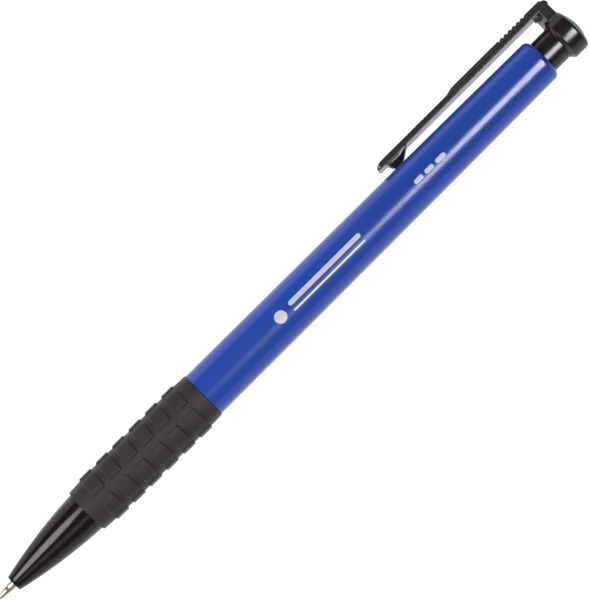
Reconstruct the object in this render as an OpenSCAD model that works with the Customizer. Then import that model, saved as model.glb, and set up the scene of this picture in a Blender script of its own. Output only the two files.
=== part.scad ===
// Retractable ballpoint pen, lying on its side with the point out.
// Every piece is drawn upright, with its length measured along +Z from the writing ball
// and the clip towards +Y, and lay_down() then puts it in the frame of the whole pen:
// tip towards -X, button towards +X, origin under the middle of the pen's box.

/* [Barrel] */
// Radius of the barrel just behind the grip
barrel_front_r = 4.57; // [4.5:0.01:4.7]
// Radius of the barrel at its rear shoulder
barrel_rear_r = 4.23; // [4.15:0.01:4.4]
// Place of the barrel's rear mouth
barrel_end = 135.3; // [135:0.1:136]
// Radius of the neck that carries the grip
neck_r = 3.95; // [3.8:0.05:4]
// Radius of the bore, the same all the way through
bore_r = 3.3; // [3.28:0.01:3.35]

/* [Nose] */
// Front face of the nose
nose_front = 3.81; // [3.6:0.01:4]
// Shoulder where the nose meets the grip
nose_shoulder = 21.87; // [21.5:0.01:22]
// Radius of the nose's front face
nose_front_r = 1.55; // [1.4:0.01:1.7]
// Radius of the nose at its shoulder
nose_rear_r = 4.06; // [4:0.01:4.2]
// Bulge of the nose's curve over a straight cone
nose_bulge = 0.42; // [0.3:0.01:0.5]

/* [Grip] */
// Rear edge of the grip
grip_end = 50.79; // [50.5:0.01:51]
// Radius of the grip's front edge
grip_edge_r = 4.48; // [4.4:0.01:4.6]
// Radius between the pads, at the first row
grip_front_r = 4.62; // [4.5:0.01:4.7]
// Radius between the pads, at the last row
grip_rear_r = 4.81; // [4.75:0.01:4.85]
// Height of a pad
pad_height = 0.33; // [0.2:0.01:0.4]
// Rows of pads along the grip
pad_rows = 6; // [4:1:6]
// Pads in one row
pads_round = 6; // [5:1:6]
// Angle that one pad covers
pad_angle = 45; // [40:1:50]
// Front edge of the first pad
pad_start = 24.71; // [24:0.01:25]
// Distance from one row to the next
pad_pitch = 4.09; // [3.8:0.01:4.1]
// Length of a pad
pad_length = 2.88; // [2.5:0.01:3]

/* [Button] */
// Radius of the button sleeve
sleeve_r = 3.25; // [3.2:0.01:3.25]
// Radius of the collar that carries the clip
collar_r = 4.15; // [4:0.01:4.3]
// Underside of the collar
collar_start = 138.98; // [138.8:0.01:139.1]
// Top of the domed plug, and of the whole pen
pen_length = 143.7; // [143.5:0.1:144]

/* [Clip] */
// Free end of the clip
clip_tip = 100.55; // [100:0.05:101]
// Distance of the bar's inner face from the pen's axis
bar_inner = 5.93; // [5.8:0.01:6]
// Distance of the bar's outer face from the pen's axis
bar_outer = 7.07; // [7:0.01:7.2]
// Width of the bar
bar_width = 4.2; // [3.8:0.1:4.4]
// Distance of the raised ridge's top from the pen's axis
ridge_top = 7.6; // [7.4:0.01:7.7]
// Width of the raised ridge
ridge_width = 2.4; // [2:0.1:2.8]
// Finger notches in the ridge
notches = 7; // [5:1:7]
// Angle of the clip below the level of the pen's axis
clip_drop = 20; // [18:1:22]

/* [Refill] */
// Radius of the writing ball
ball_r = 0.35; // [0.3:0.01:0.36]
// Radius of the ink tube
tube_r = 1.5; // [1.45:0.01:1.55]
// Rear end of the ink tube, so the length of the whole refill
tube_end = 107; // [105:0.5:110]
// Turns of the return spring
spring_turns = 11; // [8:1:12]
// Mean radius of the return spring
spring_r = 1.95; // [1.9:0.01:2]
// Diameter of the spring wire
spring_wire = 0.35; // [0.3:0.01:0.4]

/* [Hidden] */
$fn = 64;

blue = [0.10, 0.22, 0.62];
black = [0.07, 0.06, 0.06];
rubber_grey = [0.19, 0.17, 0.17];
clip_grey = [0.16, 0.14, 0.13];
metal = [0.78, 0.74, 0.66];
slack = 0.1;            // how far a cut runs past the face it opens

// frame of the whole pen
pad_top_r = grip_rear_r + pad_height;
ridge_corner_r = norm([ridge_top, ridge_width / 2]);
ridge_corner_angle = clip_drop - atan2(ridge_width / 2, ridge_top);
clip_reach = ridge_corner_r * cos(ridge_corner_angle);
axis_y = (pad_top_r - clip_reach) / 2;

module lay_down()
    translate([-pen_length / 2, axis_y, pad_top_r])
        rotate([-clip_drop, 0, 0])
            rotate([0, 90, 0])
                children();

// a solid turned from [radius, place along the pen] points
module turned(points) rotate_extrude() polygon(points);

// a cylinder on the pen's axis from one place to another
module round_span(r, from, to) translate([0, 0, from]) cylinder(r = r, h = to - from);

// part of a ring, centred on an angle
module ring_sector(r_in, r_out, centre, width, from, to)
    rotate([0, 0, centre - width / 2])
        rotate_extrude(angle = width)
            translate([r_in, from])
                square([r_out - r_in, to - from]);

// a plate cut to [distance from axis, place along the pen] points, across the clip
module side_plate(width, points)
    translate([-width / 2, 0, 0])
        rotate([90, 0, 90])
            linear_extrude(width)
                polygon(points);

// ---- barrel ----
barrel_bow = 0.22;      // part of the barrel's taper that grows with the square of the distance
barrel_steps = 8;
shoulder_round = 0.9;   // length of the barrel's rounded rear shoulder
shoulder_power = 1.3;   // 1 would make the shoulder's curve round, 2 a straight bevel
barrel_shoulder = barrel_end - shoulder_round;

function barrel_radius(t) =
    barrel_front_r - (barrel_front_r - barrel_rear_r - barrel_bow) * t - barrel_bow * t * t;

// a rounded shoulder that turns from the outside of the barrel into its mouth
function shoulder_point(a) = [
    bore_r + slack + (barrel_rear_r - bore_r - slack) * pow(cos(a), shoulder_power),
    barrel_shoulder + shoulder_round * pow(sin(a), shoulder_power)
];

module barrel() color(blue) difference() {
    turned(concat(
        [[0, nose_shoulder], [neck_r, nose_shoulder], [neck_r, grip_end]],
        [for (i = [0 : barrel_steps])
            let (t = i / barrel_steps)
            [barrel_radius(t), grip_end + (barrel_shoulder - grip_end) * t]],
        [for (a = [18 : 18 : 90]) shoulder_point(a)],
        [[0, barrel_end]]
    ));
    round_span(bore_r, nose_shoulder - slack, barrel_end + slack);
}

// ---- nose ----
spigot_end = 29.5;      // rear end of the nose inside the barrel
tip_hole_r = 0.87;
tip_hole_end = 4.9;     // where the nose's small hole opens into its bore
nose_bore_r = 1.25;
tube_guide_r = 1.65;    // bore that the front of the ink tube slides in
tube_guide_start = 10;
spring_seat = 14;
spring_bore_r = 2.4;
nose_steps = 10;
nose_edge = 0.15;       // bevel round the nose's front face

function nose_radius(t) =
    nose_front_r + (nose_rear_r - nose_front_r) * t + 4 * nose_bulge * t * (1 - t);

module nose_cone() color(black) difference() {
    turned(concat(
        [[0, nose_front], [nose_front_r - nose_edge, nose_front]],
        [for (i = [0 : nose_steps])
            let (t = i / nose_steps)
            [nose_radius(t), nose_front + nose_edge + (nose_shoulder - nose_front - nose_edge) * t]],
        [[bore_r, nose_shoulder], [bore_r, spigot_end], [0, spigot_end]]
    ));
    round_span(tip_hole_r, nose_front - slack, tip_hole_end + slack);
    round_span(nose_bore_r, tip_hole_end, tube_guide_start + slack);
    round_span(tube_guide_r, tube_guide_start, spring_seat + slack);
    round_span(spring_bore_r, spring_seat, spigot_end + slack);
}

// ---- grip ----
pad_bevel = 0.22;       // bevel along a pad's front and rear edges
pad_turn = 5;           // first column of pads, round from the clip
grip_lip = 0.35;        // rounding of the sleeve's two end edges
grip_rear_edge_r = 4.72;
grip_land = 49.9;       // where the last stretch of the sleeve starts to fall to its rear edge

function grip_radius(place) =
    grip_front_r + (grip_rear_r - grip_front_r)
        * (place - pad_start) / (pad_pitch * (pad_rows - 1));

module pad(row, column) {
    start = pad_start + row * pad_pitch;
    root = grip_radius(start) - slack;
    top = grip_radius(start) + pad_height;
    rotate([0, 0, 90 + pad_turn - pad_angle / 2 + column * 360 / pads_round])
        rotate_extrude(angle = pad_angle)
            polygon([
                [root, start], [top - pad_bevel, start], [top, start + pad_bevel],
                [top, start + pad_length - pad_bevel], [top - pad_bevel, start + pad_length],
                [root, start + pad_length]
            ]);
}

module grip_sleeve() color(rubber_grey) difference() {
    union() {
        turned([
            [0, nose_shoulder], [grip_edge_r - grip_lip / 2, nose_shoulder],
            [grip_edge_r, nose_shoulder + grip_lip], [grip_front_r, pad_start],
            [grip_rear_r, pad_start + pad_pitch * (pad_rows - 1)], [grip_rear_r, grip_land],
            [grip_rear_edge_r, grip_end], [0, grip_end]
        ]);
        for (row = [0 : pad_rows - 1], column = [0 : pads_round - 1]) pad(row, column);
    }
    round_span(neck_r, nose_shoulder - slack, grip_end + slack);
}

// ---- click mechanism ----
ribs = 3;
rib_width = 36;         // angle that a rib of the guide covers
fin_width = 28;         // angle that a fin of the rotor covers
key_width = 24;         // angle that a key of the plunger covers
rib_inner_r = 2.3;
groove_r = 2.85;        // floor of the grooves between the ribs
lip_bore_r = 2.4;       // bore of the ring that closes the grooves
fin_r = 2.78;
guide_start = tube_end - 2.35;
guide_end = guide_start + 14.05;
guide_lip = 0.8;        // ring that closes the top of the grooves
latch_height = tube_end + 2.15; // middle of a rib's oblique end
latch_reach = 2;        // more than an oblique end climbs on either side of its middle
latch_gap = 0.45;       // room between a fin's oblique top and the rib above it
latch_slope = 62;       // steepness of the oblique ends, in degrees
half_space = 20;        // size of a block that cuts everything on one side of a plane
teeth = 6;
tooth_height = 0.6;
tooth_half = 0.85;      // half the foot of a crown tooth
tooth_lean = 0.55;      // how far a tooth's crest leans to one side
crown_inner_r = 1.2;
tail_r = 2.22;
crown_gap = 0.1;        // room between the two crowns' crests
rotor_r = 2.15;
rotor_start = tube_end - 1.95;
rotor_top = rotor_start + 3.7;
fin_foot = 0.3;         // height of the fins' lower ends over the rotor's
cup_play = 0.05;        // room round the tube's end in the rotor's cup
cup_floor = tube_end + 0.15;

// everything below a plane that climbs round the pen, or above it
module oblique_block(angle, height, side)
    rotate([0, 0, angle])
        translate([0, 0, height])
            rotate([latch_slope, 0, 0])
                translate([0, -half_space, side < 0 ? -half_space : 0])
                    cube([half_space, 2 * half_space, half_space]);

module cam_guide() color("white") {
    difference() {
        round_span(bore_r, guide_start, guide_end);
        round_span(groove_r, guide_start - slack, guide_end - guide_lip);
        round_span(lip_bore_r, guide_start - slack, guide_end + slack);
    }
    for (i = [0 : ribs - 1]) difference() {
        ring_sector(rib_inner_r, groove_r + slack, i * 360 / ribs, rib_width,
            latch_height - latch_reach, guide_end - guide_lip + slack);
        oblique_block(i * 360 / ribs, latch_height, -1);
    }
}

module crown(r, height, up) intersection() {
    difference() {
        round_span(r, height - tooth_height - slack, height + tooth_height + slack);
        round_span(crown_inner_r, height - tooth_height - 2 * slack, height + tooth_height + 2 * slack);
    }
    for (i = [0 : teeth - 1])
        rotate([0, 0, i * 360 / teeth])
            translate([crown_inner_r - slack, 0, height])
                rotate([90, 0, 90])
                    linear_extrude(r)
                        polygon([[-tooth_half, -up * slack], [tooth_half, -up * slack],
                            [tooth_lean, up * tooth_height]]);
}

module cam_rotor() color("ivory") {
    difference() {
        union() {
            round_span(rotor_r, rotor_start, rotor_top);
            for (i = [0 : ribs - 1]) difference() {
                ring_sector(crown_inner_r, fin_r, i * 360 / ribs, fin_width,
                    rotor_start + fin_foot, latch_height + latch_reach);
                round_span(rotor_r - slack, rotor_top - slack, latch_height + latch_reach + slack);
                oblique_block(i * 360 / ribs, latch_height - latch_gap, 1);
            }
        }
        round_span(tube_r + cup_play, rotor_start - slack, cup_floor);
    }
    crown(rotor_r, rotor_top, 1);
}

// ---- button ----
sleeve_start = 128.2;
button_shoulder = 140.3;
button_neck_r = 2.9;
button_top = 142.6;
tail_start = rotor_top + 2 * tooth_height + crown_gap;
key_start = latch_height + 1.5;
key_end = key_start + 2.2;
tail_bore_end = 128.5;
plug_bore_r = 2.4;
plug_bore_start = 130;

module plunger() color(black) {
    difference() {
        union() {
            round_span(tail_r, tail_start, sleeve_start + slack);
            round_span(sleeve_r, sleeve_start, button_shoulder);
            round_span(button_neck_r, button_shoulder - slack, button_top);
            for (i = [0 : ribs - 1])
                ring_sector(tail_r - slack, fin_r, (i + 0.5) * 360 / ribs, key_width,
                    key_start, key_end);
        }
        round_span(crown_inner_r, tail_start - slack, tail_bore_end);
        round_span(plug_bore_r, plug_bore_start, button_top + slack);
    }
    crown(tail_r, tail_start, -1);
}

// ---- end plug ----
plug_head_r = 3.15;
plug_rim = 143;         // edge where the dome starts
plug_foot = 136;
dome_height = pen_length - plug_rim;
dome_r = (plug_head_r * plug_head_r + dome_height * dome_height) / (2 * dome_height);

module end_plug() color(blue) {
    round_span(plug_bore_r, plug_foot, button_top + slack);
    round_span(plug_head_r, button_top, plug_rim);
    intersection() {
        translate([0, 0, pen_length - dome_r]) sphere(r = dome_r, $fn = 128);
        round_span(plug_head_r, plug_rim - slack, pen_length + slack);
    }
}

// ---- clip ----
collar_bevel = 0.62;    // height of the collar's lower bevel
collar_mouth_r = 3.4;   // the collar's bore widens to this at its underside
collar_mouth = 0.5;     // length of that widening
collar_top_r = 3.55;
collar_rim = 142.35;    // where the collar's rounded top starts
collar_round_r = 4.02;  // middle of that rounding
collar_round_end = 142.62;
collar_top = 142.88;
hinge_place = 137.9;    // middle of the bar's sprung root
hinge_out = 6.6;
knuckle_r = 1.1;
knuckle_gap = 0.05;
bar_end = 142.72;
ridge_shoulder = 141.8; // where the ridge starts to fall to the bar's end
ridge_foot = 142.3;
arm_width = 3.4;
arm_start = 140.5;
arm_end = 142.5;
web_width = 1.3;
web_start = 139.15;
nub_point = 138.75;     // front corner of the nub under the bar
nub_point_out = 5.4;
nub_foot = 139.35;
nub_foot_out = 4.9;
nub_root = 139.05;      // where the nub's front face meets the bar

module knuckle(r, width)
    translate([0, hinge_out, hinge_place])
        rotate([0, 90, 0])
            cylinder(r = r, h = width, center = true);

module clip_ring() color(clip_grey) difference() {
    union() {
        turned([
            [0, collar_start], [collar_mouth_r, collar_start],
            [collar_r, collar_start + collar_bevel], [collar_r, collar_rim],
            [collar_round_r, collar_round_end], [collar_top_r, collar_top],
            [plug_head_r, plug_rim], [0, plug_rim]
        ]);
        side_plate(arm_width, [[collar_top_r, arm_start], [bar_inner + slack, arm_start],
            [bar_inner + slack, arm_end], [collar_top_r, arm_end]]);
        side_plate(web_width, [[collar_top_r, web_start], [bar_inner + slack, web_start],
            [bar_inner + slack, arm_end], [collar_top_r, arm_end]]);
        side_plate(web_width, [[bar_inner + slack, nub_root], [nub_point_out, nub_point],
            [nub_foot_out, nub_foot], [bar_inner + slack, arm_start]]);
        difference() {
            union() {
                side_plate(bar_width, [[bar_inner, hinge_place], [bar_inner, bar_end],
                    [hinge_out, bar_end], [bar_outer, ridge_foot], [bar_outer, hinge_place]]);
                side_plate(ridge_width, [[bar_outer - slack, hinge_place],
                    [bar_outer - slack, ridge_foot], [bar_outer, ridge_foot],
                    [ridge_top, ridge_shoulder], [ridge_top, hinge_place]]);
            }
            knuckle(knuckle_r + knuckle_gap, bar_width + slack);
        }
    }
    turned([[0, collar_start - slack], [collar_mouth_r, collar_start - slack],
        [collar_mouth_r, collar_start], [sleeve_r, collar_start + collar_mouth],
        [sleeve_r, button_shoulder], [button_neck_r, button_shoulder],
        [button_neck_r, button_top], [plug_head_r, button_top], [plug_head_r, plug_rim + slack],
        [0, plug_rim + slack]]);
}

clip_lip = [6.5, clip_tip];     // front edge of the bar's rounded free end
clip_lip_in = [6.2, clip_tip + 0.05];
clip_lip_out = [6.9, clip_tip + 0.5];
clip_lip_inner = 0.45;          // length of the free end's rounding on the inside
clip_lip_outer = 1.35;          // and on the outside
boss_contact = 4.46;    // distance of the boss's contact face from the pen's axis
boss_width = 2.8;
boss_start = 102.3;
boss_nose = [[5.35, 102.4], [4.75, 102.75]];    // the boss's curved front
boss_flat = [103.2, 105];                       // its contact face
boss_end = 107.55;
ridge_start = 118.2;
ridge_full = 120;
notch_start = 131.6;
notch_pitch = 1;
notch_depth = 0.27;
notch_valley = 0.2;     // from a notch's nose-side edge to its deepest line
notch_length = 0.66;
root_cut = 3;           // how far the cut round the knuckle reaches on each side of it

module clip_bar() color(clip_grey) {
    difference() {
        union() {
            side_plate(bar_width, [[bar_inner, clip_tip + clip_lip_inner], clip_lip_in, clip_lip,
                clip_lip_out, [bar_outer, clip_tip + clip_lip_outer],
                [bar_outer, hinge_place + knuckle_r], [bar_inner, hinge_place + knuckle_r]]);
            side_plate(ridge_width, [[bar_outer - slack, ridge_start], [bar_outer, ridge_start],
                [ridge_top, ridge_full], [ridge_top, hinge_place + knuckle_r],
                [bar_outer - slack, hinge_place + knuckle_r]]);
        }
        for (i = [0 : notches - 1])
            side_plate(ridge_width + slack, [
                [ridge_top + slack, notch_start + i * notch_pitch],
                [ridge_top, notch_start + i * notch_pitch],
                [ridge_top - notch_depth, notch_start + i * notch_pitch + notch_valley],
                [ridge_top, notch_start + i * notch_pitch + notch_length],
                [ridge_top + slack, notch_start + i * notch_pitch + notch_length]]);
        // everything behind the hinge that lies outside the round knuckle
        difference() {
            side_plate(bar_width + slack, [
                [hinge_out - root_cut, hinge_place], [hinge_out + root_cut, hinge_place],
                [hinge_out + root_cut, hinge_place + root_cut],
                [hinge_out - root_cut, hinge_place + root_cut]]);
            knuckle(knuckle_r, bar_width + 3 * slack);
        }
    }
    side_plate(boss_width, concat(
        [[bar_inner + slack, boss_start], [bar_inner, boss_start]],
        boss_nose,
        [[boss_contact, boss_flat[0]], [boss_contact, boss_flat[1]]],
        [[bar_inner, boss_end], [bar_inner + slack, boss_end]]
    ));
}

// ---- refill ----
socket_play = 0.02;     // room round the ball
tip_lip = 0.22;         // front edge of the rolled lip that keeps the ball in
tip_lip_r = 0.38;
tip_cone_end = [0.72, 2.6];     // where the cone behind the lip ends
tip_shank_r = 0.78;
tip_shank_start = 2.65;
tip_shank_end = 6.5;
tip_body_r = 1.15;
tip_body_start = 7;
ink_channel_r = 0.25;
tube_start = 12;
tube_bore_r = 1.02;
ear_place = 28;
ear_length = 1.2;
ear_width = 1.1;
ear_r = 2.2;
tip_end = 16;
ink_end = 88;
follower_end = 92;
ink_play = 0.01;        // room between the ink and the tube's bore
ink_r = tube_bore_r - ink_play;

module refill_tube() color("white") {
    difference() {
        union() {
            round_span(tube_r, tube_start, tube_end);
            intersection() {
                round_span(ear_r, ear_place, ear_place + ear_length);
                translate([-ear_r, -ear_width / 2, ear_place])
                    cube([2 * ear_r, ear_width, ear_length]);
            }
        }
        round_span(tube_bore_r, tube_start - slack, tube_end + slack);
    }
}

module ink_column() color("navy") round_span(ink_r, tip_end, ink_end);

module ink_follower() color("lightyellow") round_span(ink_r, ink_end, follower_end);

module writing_tip() color(metal) difference() {
    turned([
        [0, tip_lip], [tip_lip_r, tip_lip], tip_cone_end, [tip_shank_r, tip_shank_start],
        [tip_shank_r, tip_shank_end], [tip_body_r, tip_body_start], [tip_body_r, tube_start],
        [tube_bore_r, tube_start], [tube_bore_r, tip_end], [0, tip_end]
    ]);
    translate([0, 0, ball_r]) sphere(r = ball_r + socket_play);
    round_span(ink_channel_r, ball_r, tip_end + slack);
}

module tip_ball() color("silver") translate([0, 0, ball_r]) sphere(r = ball_r);

// ---- return spring ----
spring_play = 0.03;     // room at each end of the spring
wire_sides = 6;
steps_per_turn = 20;
spring_steps = spring_turns * steps_per_turn;
spring_first = spring_seat + spring_wire / 2 + spring_play;
spring_last = ear_place - spring_wire / 2 - spring_play;

// one corner of the wire's section, part of the way along the helix
function wire_corner(step, side) =
    let (
        turn = 360 * step / steps_per_turn,
        around = 360 * side / wire_sides,
        r = spring_r + spring_wire / 2 * cos(around)
    )
    [r * cos(turn), r * sin(turn),
        spring_first + (spring_last - spring_first) * step / spring_steps
            + spring_wire / 2 * sin(around)];

module return_spring() color("silver") polyhedron(
    points = [for (s = [0 : spring_steps], k = [0 : wire_sides - 1]) wire_corner(s, k)],
    faces = concat(
        [[for (k = [0 : wire_sides - 1]) k]],
        [for (s = [0 : spring_steps - 1], k = [0 : wire_sides - 1])
            let (a = s * wire_sides, n = (k + 1) % wire_sides)
            [a + k, a + wire_sides + k, a + wire_sides + n, a + n]],
        [[for (k = [wire_sides - 1 : -1 : 0]) spring_steps * wire_sides + k]]
    )
);

lay_down() barrel();
lay_down() nose_cone();
lay_down() grip_sleeve();
lay_down() cam_guide();
lay_down() return_spring();
lay_down() plunger();
lay_down() clip_ring();
lay_down() end_plug();
lay_down() clip_bar();
lay_down() refill_tube();
lay_down() ink_column();
lay_down() ink_follower();
lay_down() writing_tip();
lay_down() tip_ball();
lay_down() cam_rotor();
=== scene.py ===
"""The looks of a retractable ballpoint pen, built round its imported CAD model.

Places along the pen are in millimetres from the front of the writing ball, and distances from its axis are
in millimetres too. Angles are in degrees round the axis, from +Y towards +Z. Pen.point() turns all of them
into the frame's metres.
"""
import math

import bmesh
import bpy
from mathutils import Matrix, Vector


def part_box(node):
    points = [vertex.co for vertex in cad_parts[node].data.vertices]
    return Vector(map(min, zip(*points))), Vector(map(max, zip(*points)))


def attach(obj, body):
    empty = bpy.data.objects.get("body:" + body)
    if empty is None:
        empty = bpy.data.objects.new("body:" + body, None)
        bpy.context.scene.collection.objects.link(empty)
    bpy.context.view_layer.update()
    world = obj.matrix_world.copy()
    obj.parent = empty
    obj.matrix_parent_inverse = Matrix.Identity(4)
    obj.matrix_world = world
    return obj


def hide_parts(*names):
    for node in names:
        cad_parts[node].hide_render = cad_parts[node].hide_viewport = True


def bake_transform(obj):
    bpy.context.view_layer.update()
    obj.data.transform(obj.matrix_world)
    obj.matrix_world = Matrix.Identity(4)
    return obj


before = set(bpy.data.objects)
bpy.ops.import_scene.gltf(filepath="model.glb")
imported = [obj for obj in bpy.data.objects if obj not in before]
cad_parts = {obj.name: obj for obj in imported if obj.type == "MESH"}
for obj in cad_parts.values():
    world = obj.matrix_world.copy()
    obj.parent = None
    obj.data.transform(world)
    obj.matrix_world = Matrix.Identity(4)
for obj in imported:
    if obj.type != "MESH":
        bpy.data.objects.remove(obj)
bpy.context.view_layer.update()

MM = 0.001
ALONG_PEN = Vector((1, 0, 0))


# ---------------------------------------------------------------- the pen's own coordinates

class Pen:
    """Where the pen lies in the frame, measured on the CAD model."""

    low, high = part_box("barrel")
    axis_y = (low.y + high.y) / 2
    axis_z = (low.z + high.z) / 2
    ball_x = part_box("tip_ball")[0].x
    clip_angle = -20.0
    top = (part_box("end_plug")[1].x - ball_x) / MM

    @classmethod
    def point(cls, place, r, angle):
        """A point from its place along the pen, its distance from the axis and its angle round it."""
        a = math.radians(angle)
        return (
            cls.ball_x + place * MM,
            cls.axis_y + r * math.cos(a) * MM,
            cls.axis_z + r * math.sin(a) * MM,
        )

    @classmethod
    def clip_point(cls, place, out, across):
        """A point beside the clip: out from the axis along the clip's own direction, and across it."""
        a = math.radians(cls.clip_angle)
        return (
            cls.ball_x + place * MM,
            cls.axis_y + (out * math.cos(a) - across * math.sin(a)) * MM,
            cls.axis_z + (out * math.sin(a) + across * math.cos(a)) * MM,
        )


# ---------------------------------------------------------------- mesh helpers

def new_piece(name, points, faces, material, smooth=True, sharp_angle=40.0):
    """A mesh object. If it is shaded smooth, edges over sharp_angle degrees stay sharp."""
    mesh = bpy.data.meshes.new(name)
    mesh.from_pydata(points, [], faces)
    mesh.validate()
    mesh.update()
    piece = bpy.data.objects.new(name, mesh)
    bpy.context.scene.collection.objects.link(piece)
    mesh.materials.append(material)
    if smooth:
        mesh.shade_smooth()
        mesh.set_sharp_from_angle(angle=math.radians(sharp_angle))
    return piece


def grid_faces(rows, columns, closed_round=True):
    """Quads between rings of points: row after row, each of the same number of columns."""
    faces = []
    last = columns if closed_round else columns - 1
    for i in range(rows - 1):
        for j in range(last):
            k = (j + 1) % columns
            this, following = i * columns, (i + 1) * columns
            faces.append((this + j, this + k, following + k, following + j))
    return faces


def turned(name, profile, material, around=160, sharp_angle=40.0):
    """A closed ring or solid turned from a loop of (place, radius) points. A radius of 0 becomes a pole."""
    points, rings = [], []
    for place, r in profile:
        if r < 1e-6:
            rings.append([len(points)])
            points.append(Pen.point(place, 0, 0))
            continue
        rings.append(range(len(points), len(points) + around))
        points += [Pen.point(place, r, 360 * j / around) for j in range(around)]
    faces = []
    for a, b in zip(rings, rings[1:] + rings[:1]):
        if len(a) == 1 and len(b) == 1:
            continue
        for j in range(around):
            k = (j + 1) % around
            if len(a) == 1:
                faces.append((a[0], b[k], b[j]))
            elif len(b) == 1:
                faces.append((a[j], a[k], b[0]))
            else:
                faces.append((a[j], a[k], b[k], b[j]))
    return new_piece(name, points, faces, material, sharp_angle=sharp_angle)


def rounded(corners, steps=3):
    """A closed outline with its corners (x, y, radius) turned into curves, each of steps + 1 points."""
    out = []
    count = len(corners)
    side_share = 0.49       # the most of a side that one corner may take
    tiny = 1e-5
    for i, (x, y, r) in enumerate(corners):
        before = Vector(corners[i - 1][:2]) - Vector((x, y))
        after = Vector(corners[(i + 1) % count][:2]) - Vector((x, y))
        reach = min(r, before.length * side_share, after.length * side_share)
        here = Vector((x, y))
        if min(reach, before.length, after.length) < tiny:
            out += [(x, y)] * (steps + 1)
            continue
        a, b = here + before.normalized() * reach, here + after.normalized() * reach
        for k in range(steps + 1):
            t = k / steps
            p = a * (1 - t) ** 2 + here * 2 * t * (1 - t) + b * t ** 2
            out.append((p.x, p.y))
    return out


def swept(ring_at, stations, first_point=0):
    """Points and faces of a sweep with both ends capped. ring_at(station) gives one ring of 3-D points, and
    first_point is the number that the first of them will have in its mesh."""
    points = [p for station in stations for p in ring_at(station)]
    columns = len(points) // len(stations)
    faces = grid_faces(len(stations), columns)
    faces.append(tuple(reversed(range(columns))))
    faces.append(tuple(range(len(points) - columns, len(points))))
    return points, [tuple(v + first_point for v in f) for f in faces]


def fix_normals(piece):
    """Turns each closed shell of a piece so that its faces look outwards."""
    work = bmesh.new()
    work.from_mesh(piece.data)
    bmesh.ops.remove_doubles(work, verts=work.verts, dist=1e-8)
    bmesh.ops.recalc_face_normals(work, faces=work.faces)
    work.to_mesh(piece.data)
    work.free()


def in_order(values):
    """Grid lines sorted, with each of them once."""
    return sorted(set(round(v, 4) for v in values))


def smoothstep(t):
    """0 before t = 0, 1 after t = 1, and a soft S between."""
    t = min(1.0, max(0.0, t))
    return t * t * (3 - 2 * t)


def between(pairs, x):
    """The value at x on straight lines through (x, value) pairs, level before the first and after the last
    of them."""
    if x <= pairs[0][0]:
        return pairs[0][1]
    for (x0, v0), (x1, v1) in zip(pairs, pairs[1:]):
        if x <= x1:
            return v0 + (v1 - v0) * (x - x0) / (x1 - x0)
    return pairs[-1][1]


# ---------------------------------------------------------------- materials

NOISE_LOW, NOISE_HIGH = 0.3, 0.7      # the part of a noise texture's range that is spread over the values


def principled(name, colour, roughness, metallic=0.0, ior=1.5):
    material = bpy.data.materials.new(name)
    material.use_nodes = True
    shader = material.node_tree.nodes["Principled BSDF"]
    shader.inputs["Base Color"].default_value = (*colour, 1)
    shader.inputs["Roughness"].default_value = roughness
    shader.inputs["Metallic"].default_value = metallic
    shader.inputs["IOR"].default_value = ior
    return material, shader


def noise(material, scale, detail=3.0, stretch=(1, 1, 1)):
    """A noise texture in the frame's metres, stretched along the axes."""
    nodes, links = material.node_tree.nodes, material.node_tree.links
    where = nodes.new("ShaderNodeTexCoord")
    mapping = nodes.new("ShaderNodeMapping")
    mapping.inputs["Scale"].default_value = stretch
    texture = nodes.new("ShaderNodeTexNoise")
    texture.inputs["Scale"].default_value = scale
    texture.inputs["Detail"].default_value = detail
    links.new(where.outputs["Object"], mapping.inputs["Vector"])
    links.new(mapping.outputs["Vector"], texture.inputs["Vector"])
    return texture


def vary_colour(material, shader, texture, low, high):
    """The base colour wanders between two colours with a texture."""
    nodes, links = material.node_tree.nodes, material.node_tree.links
    ramp = nodes.new("ShaderNodeValToRGB")
    ramp.color_ramp.elements[0].position = NOISE_LOW
    ramp.color_ramp.elements[1].position = NOISE_HIGH
    ramp.color_ramp.elements[0].color = (*low, 1)
    ramp.color_ramp.elements[1].color = (*high, 1)
    links.new(texture.outputs["Fac"], ramp.inputs["Fac"])
    links.new(ramp.outputs["Color"], shader.inputs["Base Color"])


def vary_roughness(material, shader, texture, low, high):
    """The roughness wanders between two values with a texture."""
    nodes, links = material.node_tree.nodes, material.node_tree.links
    spread = nodes.new("ShaderNodeMapRange")
    spread.inputs["From Min"].default_value = NOISE_LOW
    spread.inputs["From Max"].default_value = NOISE_HIGH
    spread.inputs["To Min"].default_value = low
    spread.inputs["To Max"].default_value = high
    links.new(texture.outputs["Fac"], spread.inputs["Value"])
    links.new(spread.outputs["Result"], shader.inputs["Roughness"])


def add_bump(material, shader, texture, height_mm, strength):
    nodes, links = material.node_tree.nodes, material.node_tree.links
    bump = nodes.new("ShaderNodeBump")
    bump.inputs["Distance"].default_value = height_mm * MM
    bump.inputs["Strength"].default_value = strength
    links.new(texture.outputs["Fac"], bump.inputs["Height"])
    links.new(bump.outputs["Normal"], shader.inputs["Normal"])


def blue_plastic():
    """Glossy moulded plastic, coloured through, with faint flow waviness along the barrel."""
    material, shader = principled("blue_plastic", (0.027, 0.092, 0.54), 0.2, ior=1.4)
    flow = noise(material, scale=90, detail=2, stretch=(0.35, 1, 1))
    vary_colour(material, shader, flow, low=(0.024, 0.087, 0.52), high=(0.030, 0.097, 0.56))
    vary_roughness(material, shader, noise(material, scale=700, detail=4), low=0.18, high=0.23)
    return material


def plug_plastic():
    """The same blue, with less gloss on the plug's shallow dome."""
    material, shader = principled("plug_plastic", (0.017, 0.088, 0.55), 0.3, ior=1.12)
    vary_roughness(material, shader, noise(material, scale=700, detail=4), low=0.26, high=0.34)
    return material


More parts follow.
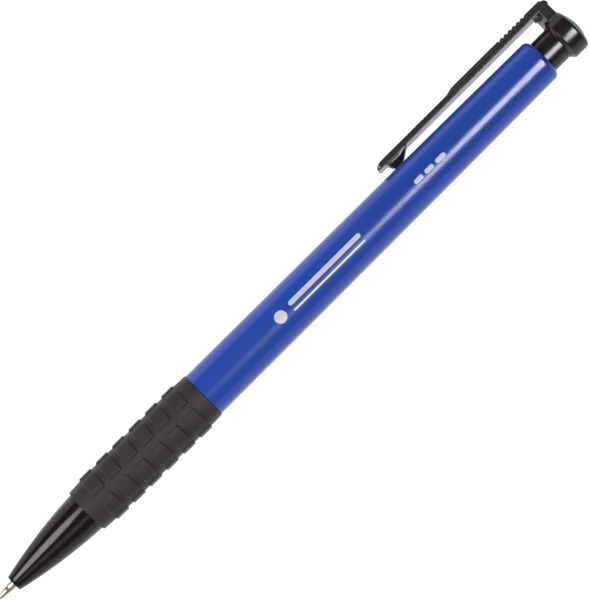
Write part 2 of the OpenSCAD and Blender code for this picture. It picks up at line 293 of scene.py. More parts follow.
def black_plastic():
    """Glossy black plastic of the nose."""
    material, shader = principled("black_plastic", (0.012, 0.0078, 0.0085), 0.13, ior=1.36)
    vary_roughness(material, shader, noise(material, scale=500, detail=4), low=0.11, high=0.16)
    return material


def button_plastic():
    """Semi-gloss black plastic of the button and the clip's collar."""
    material, shader = principled("button_plastic", (0.018, 0.0135, 0.0135), 0.22, ior=1.42)
    vary_roughness(material, shader, noise(material, scale=500, detail=4), low=0.2, high=0.25)
    return material


def clip_plastic():
    """Satin black plastic of the clip, with a fine moulded grain."""
    material, shader = principled("clip_plastic", (0.039, 0.033, 0.032), 0.24, ior=1.5)
    grain = noise(material, scale=5200)
    vary_roughness(material, shader, noise(material, scale=900), low=0.2, high=0.28)
    add_bump(material, shader, grain, height_mm=0.002, strength=0.5)
    return material


def grip_rubber():
    """Soft matte rubber with a fine grain and slightly dusty patches."""
    material, shader = principled("grip_rubber", (0.033, 0.026, 0.026), 0.62, ior=1.3)
    shader.inputs["Sheen Weight"].default_value = 0.38
    shader.inputs["Sheen Roughness"].default_value = 0.35
    patches = noise(material, scale=420, detail=4)
    vary_colour(material, shader, patches, low=(0.028, 0.022, 0.022), high=(0.039, 0.031, 0.031))
    vary_roughness(material, shader, patches, low=0.54, high=0.68)
    add_bump(material, shader, noise(material, scale=4200, detail=4), height_mm=0.012, strength=0.8)
    return material


def turned_metal(name, colour, roughness):
    """Lathe-turned metal: its fine rings run round the axis."""
    material, shader = principled(name, colour, roughness, metallic=1.0)
    rings = noise(material, scale=4000, detail=2, stretch=(6, 0.02, 0.02))
    vary_roughness(material, shader, rings, low=roughness * 0.8, high=roughness * 1.3)
    add_bump(material, shader, rings, height_mm=0.002, strength=0.5)
    return material


def white_print():
    """Screen-printed white ink, slightly uneven and thin."""
    material, shader = principled("white_print", (0.86, 0.88, 0.96), 0.35)
    wear = noise(material, scale=2600, detail=4)
    vary_colour(material, shader, wear, low=(0.80, 0.83, 0.94), high=(0.90, 0.91, 0.97))
    return material


def plain_plastic(name, colour, roughness):
    """The finish of a piece inside the barrel."""
    material, shader = principled(name, colour, roughness)
    grain = noise(material, scale=1500)
    vary_roughness(material, shader, grain, low=roughness * 0.85, high=roughness * 1.15)
    add_bump(material, shader, grain, height_mm=0.004, strength=0.5)
    return material


def spring_wire():
    """Drawn steel wire."""
    material, shader = principled("spring_wire", (0.55, 0.55, 0.56), 0.28, metallic=1.0)
    vary_roughness(material, shader, noise(material, scale=3000), low=0.22, high=0.36)
    return material


BLUE = blue_plastic()
PLUG = plug_plastic()
BLACK = black_plastic()
BUTTON = button_plastic()
CLIP = clip_plastic()
RUBBER = grip_rubber()
TIP = turned_metal("tip_metal", (0.5, 0.44, 0.35), 0.11)
BALL = turned_metal("ball_metal", (0.5, 0.5, 0.5), 0.08)
PRINT = white_print()
WIRE = spring_wire()


# ---------------------------------------------------------------- barrel

BARREL_FRONT, BARREL_SHOULDER, BARREL_END = 50.79, 134.4, 135.3
BARREL_FRONT_R, BARREL_REAR_R, BARREL_BOW = 4.57, 4.23, 0.22
BORE_R, NECK_R = 3.3, 3.95
MOUTH_R = BORE_R + 0.1
SHOULDER_POWER = 1.3        # 1 would make the rear shoulder a plain quarter of an ellipse
NOSE_SHOULDER = 21.87
NECK_GAP = 0.02             # between the barrel's neck and the grip's bore


def barrel_radius(place):
    """Radius of the long blue side, which narrows faster towards the rear."""
    t = (place - BARREL_FRONT) / (BARREL_SHOULDER - BARREL_FRONT)
    return BARREL_FRONT_R - (BARREL_FRONT_R - BARREL_REAR_R - BARREL_BOW) * t - BARREL_BOW * t * t


def barrel_side(edge, steps=40):
    """The barrel's outline from its front edge to the start of its rear shoulder."""
    side = [(BARREL_FRONT, BARREL_FRONT_R - edge), (BARREL_FRONT + edge, BARREL_FRONT_R)]
    for i in range(1, steps):
        place = BARREL_FRONT + (BARREL_SHOULDER - BARREL_FRONT) * i / steps
        side.append((place, barrel_radius(place)))
    return side


def barrel_shoulder(steps=12):
    """The rounded rear shoulder, down to the edge of the mouth."""
    shoulder = []
    for i in range(steps + 1):
        a = math.radians(90 * i / steps)
        rise = math.cos(a) ** SHOULDER_POWER if i < steps else 0
        shoulder.append((BARREL_SHOULDER + (BARREL_END - BARREL_SHOULDER) * math.sin(a) ** SHOULDER_POWER,
                         MOUTH_R + (BARREL_REAR_R - MOUTH_R) * rise))
    return shoulder


def make_barrel():
    """The blue tube with its shouldered mouth, and the neck that runs on under the grip."""
    chamfer, chamfer_r = 0.05, 0.02
    inside = [(BARREL_END, BORE_R + chamfer_r), (BARREL_END - chamfer, BORE_R), (NOSE_SHOULDER, BORE_R)]
    neck = [(NOSE_SHOULDER, NECK_R - NECK_GAP), (BARREL_FRONT, NECK_R - NECK_GAP)]
    piece = turned("barrel_tube", barrel_side(edge=0.08) + barrel_shoulder() + inside + neck, BLUE)
    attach(piece, "barrel")
    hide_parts("barrel")


# ---------------------------------------------------------------- nose

NOSE_FRONT, NOSE_FRONT_R, NOSE_REAR_R, NOSE_BULGE = 3.81, 1.55, 4.06, 0.42
NOSE_END = 29.5             # rear end of the spigot inside the barrel
TIP_HOLE_R, TIP_HOLE_END = 0.87, 4.9
NOSE_BORE_R, NOSE_BORE_END = 1.25, 10
TUBE_GUIDE_R = 1.65         # bore that the front of the ink tube slides in
SPRING_BORE_R, SPRING_SEAT = 2.4, 14


def nose_radius(place):
    """Radius of the nose: a cone with a bulge that is greatest halfway."""
    t = (place - NOSE_FRONT) / (NOSE_SHOULDER - NOSE_FRONT)
    return NOSE_FRONT_R + (NOSE_REAR_R - NOSE_FRONT_R) * t + 4 * NOSE_BULGE * t * (1 - t)


def nose_front_face(edge, chamfer):
    """The flat ring round the tip's hole and the rounded edge outside it."""
    face = [(NOSE_FRONT, TIP_HOLE_R + chamfer), (NOSE_FRONT, NOSE_FRONT_R - edge)]
    return face + [(NOSE_FRONT + edge * (1 - math.cos(a)), NOSE_FRONT_R - edge * (1 - math.sin(a)))
                   for a in (0.5, 1.0)]


def nose_side(start, steps=36):
    """The curved side, from a place just behind the front face."""
    places = [start + (NOSE_SHOULDER - start) * i / steps for i in range(steps)]
    return [(place, nose_radius(place)) for place in places]


def make_nose():
    """The nose with its stepped bore: the tip's hole, the guide for the ink tube and the spring's chamber."""
    edge, chamfer, rear_edge = 0.12, 0.06, 0.05
    back = [(NOSE_SHOULDER - rear_edge, NOSE_REAR_R), (NOSE_SHOULDER, NOSE_REAR_R - rear_edge),
            (NOSE_SHOULDER, BORE_R), (NOSE_END, BORE_R), (NOSE_END, SPRING_BORE_R)]
    inside = [(SPRING_SEAT, SPRING_BORE_R), (SPRING_SEAT, TUBE_GUIDE_R), (NOSE_BORE_END, TUBE_GUIDE_R),
              (NOSE_BORE_END, NOSE_BORE_R), (TIP_HOLE_END, NOSE_BORE_R), (TIP_HOLE_END, TIP_HOLE_R),
              (NOSE_FRONT + chamfer, TIP_HOLE_R)]
    profile = nose_front_face(edge, chamfer) + nose_side(NOSE_FRONT + edge) + back + inside
    piece = turned("nose", profile, BLACK)
    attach(piece, "barrel")
    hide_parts("nose_cone")


# ---------------------------------------------------------------- grip

GRIP_END = BARREL_FRONT
GRIP_TAPER = 49.5       # where the sleeve starts to narrow towards its rear edge
PAD_START, PAD_PITCH, PAD_LENGTH, PAD_ROWS, PADS_ROUND = 24.71, 4.09, 2.88, 6, 6
PAD_ANGLE, PAD_HEIGHT, PAD_BEVEL, PAD_CORNER = 45.0, 0.32, 0.2, 0.32
PAD_POWER = 0.8         # below 1, a pad's bevel is steeper at its foot
PAD_TURN = 5.0          # how far the columns of pads are turned from the clip
GRIP_FRONT_R, GRIP_REAR_R = 4.62, 4.81
FRONT_EDGE = [(0, 4.40), (0.12, 4.475), (0.4, 4.5)]             # behind the nose's shoulder
REAR_EDGE = [(-0.24, 4.74), (-0.07, 4.70), (0, 4.64)]           # before the barrel


def grip_base(place):
    """Radius of the sleeve between its pads."""
    front = [(NOSE_SHOULDER + x, r) for x, r in FRONT_EDGE]
    middle = [(PAD_START, GRIP_FRONT_R), (PAD_START + PAD_PITCH * (PAD_ROWS - 1), GRIP_REAR_R),
              (GRIP_TAPER, GRIP_REAR_R - 0.01)]
    return between(front + middle + [(GRIP_END + x, r) for x, r in REAR_EDGE], place)


def pad_lift(along, around):
    """Height of a pad at a point, from its distances inside the nearest end edge and side edge."""
    if along <= 0 or around <= 0:
        return 0.0
    if along < PAD_CORNER and around < PAD_CORNER:
        inside = PAD_CORNER - math.hypot(PAD_CORNER - along, PAD_CORNER - around)
    else:
        inside = min(along, around)
    up_bevel = min(1.0, max(0.0, inside / PAD_BEVEL))
    return PAD_HEIGHT * math.sin(up_bevel * math.pi / 2) ** PAD_POWER


def grip_radius(place, angle):
    """Radius of the sleeve at any point, pads included."""
    before = place - PAD_START + (PAD_PITCH - PAD_LENGTH) / 2
    row = min(PAD_ROWS - 1, max(0, math.floor(before / PAD_PITCH)))
    middle = PAD_START + row * PAD_PITCH + PAD_LENGTH / 2
    pitch = 360 / PADS_ROUND
    turn = (angle - Pen.clip_angle - PAD_TURN + pitch / 2) % pitch - pitch / 2
    along = PAD_LENGTH / 2 - abs(place - middle)
    around = math.radians(PAD_ANGLE / 2 - abs(turn)) * GRIP_REAR_R
    return grip_base(place) + pad_lift(along, around)


def lines_inwards(edge, bevel):
    """Grid lines close to a pad's edge, from just outside it, up its bevel and on to its top."""
    return [edge + bevel * k for k in (-0.5, 0.0, 0.12, 0.3, 0.5, 0.75, 1.0, 1.3, 2.6)]


def grip_lines_along():
    """Places of the sleeve's grid lines, close together wherever it bends."""
    lines = [NOSE_SHOULDER + x for x in (0, 0.05, 0.12, 0.25, 0.4)] + [22.9, 23.6, 24.2]
    lines += [GRIP_TAPER] + [GRIP_END + x for x in (-0.79, -0.44, -0.24, -0.13, -0.07, 0)]
    for row in range(PAD_ROWS):
        start = PAD_START + row * PAD_PITCH
        end = start + PAD_LENGTH
        lines += lines_inwards(start, PAD_BEVEL) + lines_inwards(end, -PAD_BEVEL)
        lines += [start + PAD_LENGTH * k for k in (0.35, 0.5, 0.65)] + [end + 0.6]
    return in_order(lines)


def grip_lines_round():
    """Angles of the sleeve's grid lines."""
    bevel = math.degrees(PAD_BEVEL / GRIP_REAR_R)
    lines = []
    for column in range(PADS_ROUND):
        middle = Pen.clip_angle + PAD_TURN + column * 360 / PADS_ROUND
        for side in (-1, 1):
            lines += lines_inwards(middle + side * PAD_ANGLE / 2, -side * bevel)
        lines += [middle + PAD_ANGLE * k for k in (-0.28, -0.14, 0, 0.14, 0.28)]
        lines += [middle + PAD_ANGLE / 2 + gap for gap in (5, 10)]
    return in_order(lines)


def make_grip():
    """The padded outside, with its bore and both end faces added as three more bands of faces."""
    places, angles = grip_lines_along(), grip_lines_round()
    points = [Pen.point(p, grip_radius(p, a), a) for p in places for a in angles]
    columns = len(angles)
    faces = grid_faces(len(places), columns)
    inner_first = len(points)
    points += [Pen.point(p, NECK_R, a) for p in (places[-1], places[0]) for a in angles]
    last_row = (len(places) - 1) * columns
    for j in range(columns):
        k = (j + 1) % columns
        rear, front = inner_first, inner_first + columns
        faces.append((last_row + j, last_row + k, rear + k, rear + j))
        faces.append((rear + j, rear + k, front + k, front + j))
        faces.append((front + j, front + k, k, j))
    piece = new_piece("grip", points, faces, RUBBER, sharp_angle=55)
    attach(piece, "barrel")
    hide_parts("grip_sleeve")


# ---------------------------------------------------------------- button

SLEEVE_R, SLEEVE_START = 3.25, 128.2
TAIL_START, TAIL_R, TAIL_BORE_R = 110.1, 2.2, 1.2
BUTTON_NECK_R, BUTTON_SHOULDER, BUTTON_TOP = 2.9, 140.3, 142.6
PLUG_BORE_R, PLUG_BORE_START = 2.4, 130
PLUG_FOOT, PLUG_R = 136, 3.15
COLLAR_START, COLLAR_R, COLLAR_RIM, RIM = 138.98, 4.15, 142.35, 143.0


def make_plunger():
    """The button's sleeve. Its tail is hidden in the barrel, so here it is a plain tube without keys."""
    edge, step = 0.1, 0.05
    outside = [(TAIL_START, TAIL_BORE_R), (TAIL_START, TAIL_R), (SLEEVE_START - step, TAIL_R),
               (SLEEVE_START, SLEEVE_R - edge), (SLEEVE_START + edge, SLEEVE_R),
               (BUTTON_SHOULDER, SLEEVE_R), (BUTTON_SHOULDER, BUTTON_NECK_R), (BUTTON_TOP, BUTTON_NECK_R)]
    bore = [(BUTTON_TOP, PLUG_BORE_R), (PLUG_BORE_START, PLUG_BORE_R), (PLUG_BORE_START, TAIL_BORE_R)]
    piece = turned("button_sleeve", outside + bore, BUTTON)
    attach(piece, "button")
    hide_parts("plunger")


def make_plug():
    """The domed plug: a slice of a sphere on a flat head, with a peg in the button's bore."""
    rim_edge, dome_inset, steps = 0.06, 0.05, 14
    height = Pen.top - RIM
    radius = (PLUG_R ** 2 + height ** 2) / (2 * height)
    reach = math.asin((PLUG_R - dome_inset) / radius)
    profile = [(PLUG_FOOT, 0), (PLUG_FOOT, PLUG_BORE_R), (BUTTON_TOP, PLUG_BORE_R), (BUTTON_TOP, PLUG_R),
               (RIM - rim_edge, PLUG_R)]
    for i in range(steps):
        a = reach * (1 - i / steps)
        profile.append((Pen.top - radius + radius * math.cos(a), radius * math.sin(a)))
    piece = turned("dome_plug", profile + [(Pen.top, 0)], PLUG)
    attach(piece, "button")
    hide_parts("end_plug")


# ---------------------------------------------------------------- clip

BAR_IN, BAR_OUT, BAR_HALF, RIDGE_TOP, RIDGE_HALF = 5.93, 7.07, 2.1, 7.6, 1.2
CLIP_TIP, BAR_END = 100.55, 142.72
BAR_EDGE = 0.22
BOSS_FOOT = 0.5                         # half the contact boss's width at its foot
BOSS_CONTACT = 4.46                     # distance of its foot from the axis
NOTCHES, NOTCH_START, NOTCH_PITCH, NOTCH_DEPTH, NOTCH_LENGTH = 7, 131.6, 1.0, 0.27, 0.66
NOTCH_DEEPEST = 0.2                     # place of a notch's deepest point, behind its start
RIDGE_FALL, RIDGE_END = 141.75, 142.33  # where the ridge starts to fall at the rear, and where it ends
CORNER_START = 142.6                    # where the bar's rear corners start
HINGE_PLACE = 137.9
ARM_HALF, ARM_FILLET, ARM_LEAN = BAR_HALF + 0.03, 1.5, 1.1
ARM_FRONT, ARM_BACK = 140.35, 142.5
NUB_HALF, NUB_EDGE = 0.65, 0.15

# distances behind the clip's free end at which its section changes
TIP_STATIONS = (0, 0.05, 0.12, 0.2, 0.3, 0.42, 0.6, 0.8, 1.05, 1.35)
# (place, share of the boss's full depth)
BOSS_OUTLINE = [(102.3, 0), (102.38, 0.33), (102.6, 0.68), (102.85, 0.88), (103.05, 0.97), (103.2, 1),
                (105.0, 1), (105.2, 0.95), (107.3, 0.06), (107.55, 0)]
# (place, share of the ridge's full height)
RIDGE_RAMP = [(117.6, 0), (118.2, 0.1), (119.7, 0.88), (120.4, 1)]
# distances from the axis of the arm's sections, from inside the collar to inside the bar
ARM_STATIONS = (3.0, 3.2, 3.31, 3.38, 3.46, 3.56, 3.68, 3.82, 4.0, 4.2,
                4.36, 4.52, 4.8, 4.95, 5.1, 5.25, 5.4, 5.5, 5.8, 6.3)


def collar_profile():
    """The ring round the button, with a bevelled underside and a rounded top."""
    underside = [(0.5, SLEEVE_R), (0.04, 3.38), (0, 3.43), (0.03, 3.47), (0.62, COLLAR_R - 0.06),
                 (0.7, COLLAR_R - 0.01), (0.8, COLLAR_R)]
    top = [(-0.12, 0), (-0.05, 0), (0.22, 0.07), (0.42, 0.25), (0.54, 0.5), (RIM - COLLAR_RIM - 0.03, 0.78)]
    inside = [(RIM, PLUG_R + 0.1), (RIM - 0.02, PLUG_R), (BUTTON_TOP, PLUG_R), (BUTTON_TOP, BUTTON_NECK_R),
              (BUTTON_SHOULDER, BUTTON_NECK_R), (BUTTON_SHOULDER, SLEEVE_R)]
    return ([(COLLAR_START + x, r) for x, r in underside]
            + [(COLLAR_RIM + x, COLLAR_R - drop) for x, drop in top] + inside)


def ridge_height(place):
    """Height of the ridge over the bar's outer face: a ramp, finger notches, and a fall at the rear end."""
    height = RIDGE_TOP - BAR_OUT
    lift = height * between(RIDGE_RAMP, place)
    for i in range(NOTCHES):
        start = NOTCH_START + i * NOTCH_PITCH
        notch = [(start, 0), (start + NOTCH_DEEPEST, NOTCH_DEPTH), (start + NOTCH_LENGTH, 0)]
        lift -= between(notch, place)
    if place > RIDGE_FALL:
        lift = min(lift, height * (RIDGE_END - place) / (RIDGE_END - RIDGE_FALL))
    return max(0.0, lift)


def boss_depth(place):
    """How far the contact boss stands under the bar's inner face."""
    return (BAR_IN - BOSS_CONTACT) * between(BOSS_OUTLINE, place)


def bar_size(place):
    """The bar's inner face, outer face and half width, which shrink to rounded corners at both ends."""
    tip = place - CLIP_TIP
    inner = BAR_IN + between([(0, 0.24), (0.12, 0.08), (0.3, 0.0)], tip)
    outer = BAR_OUT - between([(0, 0.62), (0.15, 0.42), (0.5, 0.24), (1.05, 0.05), (1.35, 0)], tip)
    half = BAR_HALF - between([(0, 0.5), (0.1, 0.3), (0.3, 0.12), (0.6, 0)], tip)
    inner += between([(CORNER_START, 0), (BAR_END, 0.1)], place)
    outer -= between([(RIDGE_END, 0), (142.66, 0.42), (BAR_END, 0.5)], place)
    half -= between([(CORNER_START, 0), (BAR_END, 0.12)], place)
    return inner, outer, half


def bar_section(place):
    """One section of the bar, boss and ridge, as (across, out) points."""
    inner, outer, half = bar_size(place)
    ridge, boss = outer + ridge_height(place), inner - boss_depth(place)
    # the boss is nearly flush with the bar's sides, whose lower edges are rounded where there is no boss
    has_boss = boss <= inner - 0.01
    boss_inset, lower_edge = (0.03, 0.015) if has_boss else (0.17, 0.12)
    root, flank = half - boss_inset, inner - 0.4 * (inner - boss)
    right_side = [
        (BOSS_FOOT, boss, 0.3), (root - 0.03, flank, 0.2), (root, inner, 0.01), (half, inner, lower_edge),
        (half, outer, BAR_EDGE), (RIDGE_HALF + 0.06, outer, 0.1), (RIDGE_HALF, ridge, 0.14)
    ]
    left_side = [(-across, out, r) for across, out, r in reversed(right_side)]
    return rounded(right_side + left_side)


def bar_stations():
    """Places of the bar's sections, close together wherever its outline bends."""
    places = [CLIP_TIP + x for x in TIP_STATIONS]
    places += [place for place, _ in BOSS_OUTLINE]
    places += [102.34, 102.48, 102.72, 102.95, 104, 105.1, 105.8, 106.5, 107.42]
    places += [108 + i for i in range(10)] + [118.2 + 0.15 * i for i in range(13)]
    places += [121 + i for i in range(10)]
    for i in range(NOTCHES):
        start = NOTCH_START + i * NOTCH_PITCH
        places += [start + x for x in (-0.06, 0, 0.17, NOTCH_DEEPEST, 0.23, 0.62, NOTCH_LENGTH)]
    places += [138.8 + 0.6 * i for i in range(5)] + [141.6, 141.75, 141.9, 142.05, 142.2]
    places += [RIDGE_END, 142.45, 142.55, CORNER_START, 142.66, 142.7, BAR_END]
    return in_order(places)


def arm_half(out):
    """Half the arm's width: a round fillet on the collar, and a hair wider than the bar above it."""
    centre_out = math.sqrt((COLLAR_R + ARM_FILLET) ** 2 - (ARM_HALF + ARM_FILLET) ** 2)
    foot = centre_out * COLLAR_R / (COLLAR_R + ARM_FILLET)
    drop = max(0.0, centre_out - max(out, foot))
    fillet = ARM_FILLET - math.sqrt(ARM_FILLET ** 2 - drop ** 2)
    return ARM_HALF + fillet


def arm_section(out):
    """One section of the arm between the collar and the bar, as (place, across) points."""
    half = arm_half(out)
    return rounded([(ARM_FRONT - ARM_LEAN, -half, 0.1), (ARM_BACK, -half, 0.3),
                    (ARM_BACK, half, 0.3), (ARM_FRONT, half, 0.1)])


def nub_section(across):
    """One section of the pointed nub under the bar, as (place, out) points."""
    inset = 0.08 * smoothstep((abs(across) - NUB_HALF + NUB_EDGE) / NUB_EDGE)
    return rounded([(139.05 + inset, 6.0, 0.02), (138.75 + inset, 5.40, 0.08), (139.32, 4.87 + inset, 0.1),
                    (140.2, 5.2, 0.1), (140.4, 6.0, 0.02)])


def make_collar():
    """The ring that carries the clip's arm."""
    collar = turned("clip_collar", collar_profile(), BUTTON, sharp_angle=30)
    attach(collar, "button")
    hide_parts("clip_ring")


def make_clip():
    """Arm, nub and bar: one moulding."""
    def bar_ring(place):
        return [Pen.clip_point(place, out, across) for across, out in bar_section(place)]

    def arm_ring(out):
        return [Pen.clip_point(place, out, across) for place, across in arm_section(out)]

    def nub_ring(across):
        return [Pen.clip_point(place, out, across) for place, out in nub_section(across)]

    nub_edges = (NUB_HALF, NUB_HALF - NUB_EDGE / 3, NUB_HALF - NUB_EDGE)
    nub_stations = [*(-x for x in nub_edges), 0, *reversed(nub_edges)]
    points, faces = [], []
    for ring, stations in ((bar_ring, bar_stations()), (arm_ring, ARM_STATIONS), (nub_ring, nub_stations)):
        more_points, more_faces = swept(ring, stations, first_point=len(points))
        points += more_points
        faces += more_faces
    bar = new_piece("clip_arm", points, faces, CLIP, sharp_angle=38)
    fix_normals(bar)
    Pen.point(HINGE_PLACE + 0.9, 0, 0)
    Pen.point(HINGE_PLACE - 3, 0, 0)
    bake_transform(bar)
    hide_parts("clip_bar")


# ---------------------------------------------------------------- refill and spring

BALL_R, BALL_SEAT_R = 0.35, 0.372       # the seat is a hair wider, so that the ball is free to roll
CONE_END, CONE_R = 2.42, 0.70
SHANK_R, TIP_SEAT, TIP_BODY_R, TIP_BODY_END = 0.78, 6.5, 1.15, 12
TIP_TAIL_R, TIP_END = 1.0, 16
INK_CHANNEL_R = 0.25
SPRING_END, SPRING_R, WIRE_R, SPRING_TURNS = 28.0, 1.95, 0.175, 11
COIL_GAP = 0.02                         # between the closed coils, and before the seats


def make_tip():
    """The writing tip, from its lip to its tail, with a turned groove outside and the ball's seat inside."""
    lip = [(0.22, 0.338), (0.205, 0.362), (0.23, 0.39), (0.34, 0.42)]
    groove = [(CONE_END, CONE_R), (2.48, 0.69), (2.51, 0.63), (2.62, 0.63), (2.65, SHANK_R - 0.02)]
    body = [(2.7, SHANK_R), (TIP_SEAT, SHANK_R), (7, TIP_BODY_R), (TIP_BODY_END, TIP_BODY_R),
            (TIP_BODY_END, TIP_TAIL_R), (TIP_END, TIP_TAIL_R)]
    inside = [(TIP_END, INK_CHANNEL_R), (0.75, INK_CHANNEL_R), (0.62, 0.31), (0.5, BALL_SEAT_R),
              (0.3, BALL_SEAT_R)]
    piece = turned("point", lip + groove + body + inside, TIP, around=96, sharp_angle=25)
    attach(piece, "refill")
    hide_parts("writing_tip")


def make_ball():
    """The writing ball, whose front touches place 0."""
    steps = 24
    turns = [math.pi * i / steps for i in range(1, steps)]
    middle = [(BALL_R - BALL_R * math.cos(a), BALL_R * math.sin(a)) for a in turns]
    piece = turned("ball", [(0, 0)] + middle + [(2 * BALL_R, 0)], BALL, around=48, sharp_angle=60)
    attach(piece, "ball")
    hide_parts("tip_ball")


def coil_place(t):
    """Place of the spring's wire at a share t of its length. The first and last coils are closed."""
    first, last = SPRING_SEAT + WIRE_R + COIL_GAP, SPRING_END - WIRE_R - COIL_GAP
    closed = 1.0 / SPRING_TURNS
    pitch = 2 * WIRE_R + COIL_GAP
    if t < closed:
        return first + pitch * t / closed
    if t > 1 - closed:
        return last - pitch * (1 - t) / closed
    return first + pitch + (last - first - 2 * pitch) * (t - closed) / (1 - 2 * closed)


def make_spring():
    """A helix with closed end coils."""
    per_turn, sides = 36, 12
    steps = SPRING_TURNS * per_turn
    points = []
    for i in range(steps + 1):
        angle, place = 360 * i / per_turn, coil_place(i / steps)
        for k in range(sides):
            a = 2 * math.pi * k / sides
            points.append(Pen.point(place + WIRE_R * math.sin(a), SPRING_R + WIRE_R * math.cos(a), angle))
    faces = grid_faces(steps + 1, sides)
    faces += [tuple(reversed(range(sides))), tuple(range(steps * sides, (steps + 1) * sides))]
    piece = new_piece("coil_spring", points, faces, WIRE, sharp_angle=60)
    fix_normals(piece)
    Pen.point(SPRING_SEAT, 0, 0)
    Pen.point(SPRING_END, 0, 0)
    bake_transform(piece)
    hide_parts("return_spring")


def paint_hidden_nodes():
    """The pieces inside the barrel keep their CAD shape and get a real finish."""
    finishes = {
        "cam_guide": plain_plastic("cam_white", (0.78, 0.78, 0.76), 0.45),
        "cam_rotor": plain_plastic("cam_ivory", (0.74, 0.73, 0.66), 0.45),
        "refill_tube": plain_plastic("tube_plastic", (0.8, 0.83, 0.83), 0.25),
        "ink_column": plain_plastic("blue_ink", (0.012, 0.02, 0.2), 0.12),
        "ink_follower": plain_plastic("clear_grease", (0.8, 0.74, 0.5), 0.2),
    }
    for node, material in finishes.items():
        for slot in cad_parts[node].material_slots:
            slot.material = material


# ---------------------------------------------------------------- printed marks

PRINT_LIFT, PRINT_DEPTH = 0.012, 0.02       # how far the film stands over the barrel, and reaches into it
PRINT_ANGLE = 76.5                          # where the marks run along the barrel
BAR_MARK_START, BAR_MARK_END = 72.6, 90.2
DASHES = [(103.3, 105.3), (105.9, 107.9), (108.5, 110.8)]


def film_rim(rows, across):
    """The points round the edge of a film's grid, in order."""
    rim = list(range(across))
    rim += [i * across + across - 1 for i in range(1, rows)]
    rim += [(rows - 1) * across + j for j in reversed(range(across - 1))]
    return rim + [i * across for i in reversed(range(1, rows - 1))]


def print_patch(name, rows):
    """A thin printed film on the barrel. Each row is (place, low, high): low and high are its two ends, in
    millimetres round the barrel from PRINT_ANGLE."""
    across = 9
    points = []
    for lift in (PRINT_LIFT, -PRINT_DEPTH):
        for place, low, high in rows:
            r = barrel_radius(place)
            for j in range(across):
                round_mm = low + (high - low) * j / (across - 1)
                points.append(Pen.point(place, r + lift, PRINT_ANGLE + math.degrees(round_mm / r)))
    count = len(rows) * across
    top = grid_faces(len(rows), across, closed_round=False)
    faces = top + [tuple(v + count for v in reversed(face)) for face in top]
    rim = film_rim(len(rows), across)
    faces += [(a, b, b + count, a + count) for a, b in zip(rim, rim[1:] + rim[:1])]
    piece = new_piece(name, points, faces, PRINT, smooth=False)
    fix_normals(piece)
    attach(piece, "barrel")


def capsule_rows(start, end, middle, half):
    """Rows of a bar with round ends."""
    end_steps, row_length, least_half = 8, 1.5, 0.004
    first_end = []
    for i in range(end_steps + 1):
        a = math.pi / 2 * i / end_steps
        first_end.append((start + half * (1 - math.cos(a)), half * math.sin(a) + least_half))
    steps = max(2, int((end - start) / row_length))
    straight = [(start + half + (end - start - 2 * half) * i / steps, half) for i in range(1, steps)]
    second_end = [(end - (place - start), h) for place, h in reversed(first_end)]
    return [(place, middle - h, middle + h) for place, h in first_end + straight + second_end]


def make_prints():
    """Plain marks where the photographed pen carries lettering."""
    print_patch("print_dot", capsule_rows(68.9, 71.3, 0.0, 1.15))
    print_patch("print_bar", capsule_rows(BAR_MARK_START, BAR_MARK_END, -0.55, 0.45))
    print_patch("print_line", capsule_rows(BAR_MARK_START, BAR_MARK_END, 0.85, 0.18))
    for i, (start, end) in enumerate(DASHES):
        print_patch(f"print_dash_{i + 1}", capsule_rows(start, end, -0.1, 0.42))


# ---------------------------------------------------------------- studio

# angles are in degrees, and distances in metres
CAMERA_ANGLE = 78.5     # the camera's direction round the pen's axis
CAMERA_LEAN = 1.1       # how far it stands towards the writing end
CAMERA_DISTANCE = 0.62
LENS, SENSOR = 210.9, 36.0
PEN_SLOPE = 44.83       # the pen's slope across the picture
AIM_PLACE, AIM_OFFSET = 74.0, -0.57     # millimetres along and across the pen
LIGHT_DISTANCE = 0.8
FLOOR_HALF, FLOOR_DROP = 1.6, 0.00002
FLOOR_COLOUR, FLOOR_GLOW = (0.3, 0.3, 0.3), 0.97
SURROUND_TILT = 20.0    # how much higher the white surround reaches on one side
SURROUND_TOP, CEILING_START = 0.05, 0.3     # sines of the heights where the white fades into the ceiling
SURROUND_COLOUR, CEILING_COLOUR = (1, 1, 1), (0.12, 0.115, 0.12)


def camera_axes():
    """Right, up and back of the camera, and the direction across the pen in its picture, in the frame."""
    a, lean, slope = (math.radians(v) for v in (CAMERA_ANGLE, CAMERA_LEAN, PEN_SLOPE))
    facing = Vector((0, math.cos(a), math.sin(a)))
    side = Vector((0, -math.sin(a), math.cos(a)))
    along = ALONG_PEN * math.cos(lean) + facing * math.sin(lean)
    back = facing * math.cos(lean) - ALONG_PEN * math.sin(lean)
    right = along * math.cos(slope) + side * math.sin(slope)
    up = along * math.sin(slope) - side * math.cos(slope)
    return right, up, back, side


def from_axes(right, up, back, where):
    """The placement of a camera or lamp from its three axes and its place."""
    turn = Matrix((right, up, back)).transposed()
    return Matrix.Translation(where) @ turn.to_4x4()


def make_camera():
    """The photograph's view: the pen runs up to the right, seen from far off through a long lens."""
    right, up, back, side = camera_axes()
    aim = Vector(Pen.point(AIM_PLACE, 0, 0)) + side * AIM_OFFSET * MM
    data = bpy.data.cameras.new("camera")
    data.lens, data.sensor_width = LENS, SENSOR
    data.clip_start, data.clip_end = 0.01, 10
    camera = bpy.data.objects.new("camera", data)
    bpy.context.scene.collection.objects.link(camera)
    camera.matrix_world = from_axes(right, up, back, aim + back * CAMERA_DISTANCE)
    bpy.context.scene.camera = camera


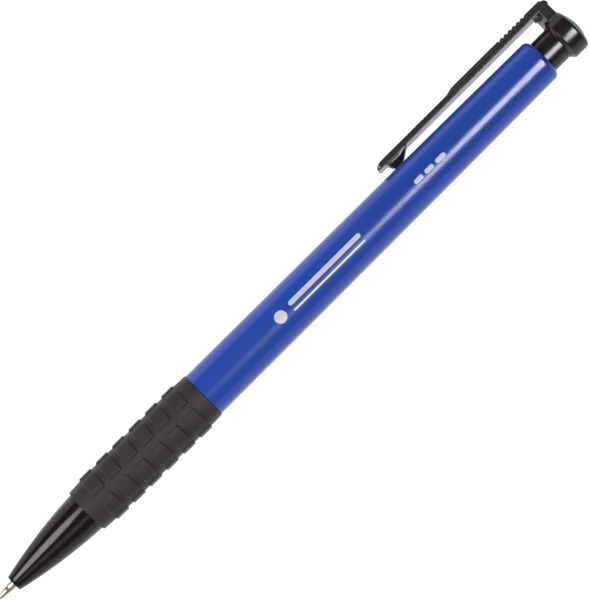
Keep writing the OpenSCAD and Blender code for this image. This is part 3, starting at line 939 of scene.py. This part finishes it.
def softbox(name, round_angle, along_angle, size, strength, lights, colour=(1, 1, 1), shape="RECTANGLE"):
    """An area light, placed as seen from the pen: an angle round the axis from the camera, and an angle
    towards the button. Its light reaches either "gloss" or "diffuse" shading, so each is set alone."""
    a, b = math.radians(CAMERA_ANGLE + round_angle), math.radians(along_angle)
    away = Vector((math.sin(b), math.cos(b) * math.cos(a), math.cos(b) * math.sin(a)))
    data = bpy.data.lights.new(name, "AREA")
    data.shape = shape
    data.size, data.size_y = size
    data.energy, data.color = strength, colour
    light = bpy.data.objects.new(name, data)
    bpy.context.scene.collection.objects.link(light)
    light.visible_diffuse = lights == "diffuse"
    light.visible_glossy = lights == "gloss"
    right = (ALONG_PEN - away * away.x).normalized()
    centre = Vector(Pen.point(AIM_PLACE, 0, 0))
    light.matrix_world = from_axes(right, away.cross(right), away, centre + away * LIGHT_DISTANCE)


def make_floor():
    """A plain white light table under the pen."""
    material, shader = principled("light_table", FLOOR_COLOUR, 0.9)
    shader.inputs["Emission Color"].default_value = (1, 1, 1, 1)
    shader.inputs["Emission Strength"].default_value = FLOOR_GLOW
    vary_roughness(material, shader, noise(material, scale=40, detail=2), low=0.85, high=0.95)
    corners = [(-1, -1), (1, -1), (1, 1), (-1, 1)]
    points = [(x * FLOOR_HALF, y * FLOOR_HALF, -FLOOR_DROP) for x, y in corners]
    floor = new_piece("table", points, [(0, 1, 2, 3)], material, smooth=False)


def make_world():
    """A white surround round the horizon, which reaches higher on one side, under a dim ceiling."""
    world = bpy.data.worlds.new("studio")
    bpy.context.scene.world = world
    world.use_nodes = True
    nodes, links = world.node_tree.nodes, world.node_tree.links
    where = nodes.new("ShaderNodeTexCoord")
    height = nodes.new("ShaderNodeVectorMath")
    height.operation = "DOT_PRODUCT"
    tilt = math.radians(SURROUND_TILT)
    height.inputs[1].default_value = (0, math.sin(tilt), math.cos(tilt))
    ramp = nodes.new("ShaderNodeValToRGB")
    ramp.color_ramp.interpolation = "EASE"
    surround, ceiling = ramp.color_ramp.elements
    surround.position, surround.color = SURROUND_TOP, (*SURROUND_COLOUR, 1)
    ceiling.position, ceiling.color = CEILING_START, (*CEILING_COLOUR, 1)
    links.new(where.outputs["Generated"], height.inputs[0])
    links.new(height.outputs["Value"], ramp.inputs["Fac"])
    links.new(ramp.outputs["Color"], nodes["Background"].inputs["Color"])
    nodes["Background"].inputs["Strength"].default_value = 1.0


def make_lights():
    """A broad key, a strip along the nose, a warm card opposite it, and a soft fill."""
    softbox("key", 16, 17.5, (0.34, 0.44), 9.0, "gloss", shape="ELLIPSE")
    softbox("nose_strip", -29, -27, (0.42, 0.5), 4.9, "gloss", colour=(1, 0.96, 1), shape="ELLIPSE")
    softbox("warm_card", 24, -23.5, (0.34, 0.28), 0.4, "gloss", colour=(1, 0.8, 0.53))
    softbox("fill", -13, -50, (0.4, 0.4), 4.9, "diffuse")
    bpy.context.scene.view_settings.view_transform = "Standard"


# ---------------------------------------------------------------- everything

make_camera()
make_floor()
make_world()
make_lights()
make_barrel()
make_nose()
make_grip()
make_plunger()
make_plug()
make_clip()
make_collar()
make_tip()
make_ball()
make_spring()
paint_hidden_nodes()
make_prints()
